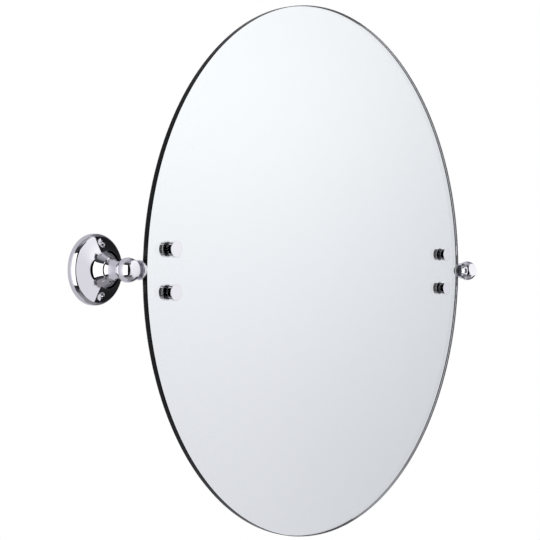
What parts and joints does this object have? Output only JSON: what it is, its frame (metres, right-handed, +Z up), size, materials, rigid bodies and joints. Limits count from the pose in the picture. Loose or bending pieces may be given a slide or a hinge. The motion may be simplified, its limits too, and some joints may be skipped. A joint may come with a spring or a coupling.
{
  "type": "pivot wall mirror",
  "caption": "Round frameless wall mirror that tilts up and down between turned chrome wall brackets, clamped near its edges by plain knobs.",
  "frame": {"origin": "on the wall plane, at the height of the pivot axis, midway between the two brackets", "axes": "+X right along the pivot axis as seen by someone looking into the mirror, +Y into the wall, +Z up"},
  "size_m": [0.601, 0.0798, 0.5],
  "materials": {
    "bracket_chrome": "polished",
    "fitting_chrome": "polished",
    "screw_chrome": "polished",
    "plated_steel": "zinc plated",
    "nylon": "natural, moulded",
    "rubber_pad": "matt",
    "clear_glass": "clear float glass, polished edge",
    "silvering": "silvered",
    "dark_film": "matt film"
  },
  "bodies": {
    "wall_brackets": {"rose_left": "bracket_chrome", "rose_right": "bracket_chrome", "post_left": "bracket_chrome", "post_right": "bracket_chrome", "post_bolt_left": "plated_steel", "post_bolt_right": "plated_steel", "wall_screws_left": "screw_chrome", "wall_screws_right": "screw_chrome", "ball_bush_left": "nylon", "ball_bush_right": "nylon", "tension_screw_left": "plated_steel", "tension_screw_right": "plated_steel"},
    "mirror": {"pivot_spigot_left": "fitting_chrome", "pivot_spigot_right": "fitting_chrome", "back_plate_left": "fitting_chrome", "back_plate_right": "fitting_chrome", "plate_pad_left": "rubber_pad", "plate_pad_right": "rubber_pad", "knobs_left": "fitting_chrome", "knobs_right": "fitting_chrome", "knob_sleeves_left": "rubber_pad", "knob_sleeves_right": "rubber_pad", "mirror_glass": "clear_glass", "silver_coat": "silvering", "safety_film": "dark_film"}
  },
  "joints": [
    {"name": "mirror_tilt", "type": "hinge", "parent": "wall_brackets", "child": "mirror", "pos_m": [0, -0.039, 0], "axis": [1, 0, 0], "range_deg": [-7.5, 7.5]}
  ]
}
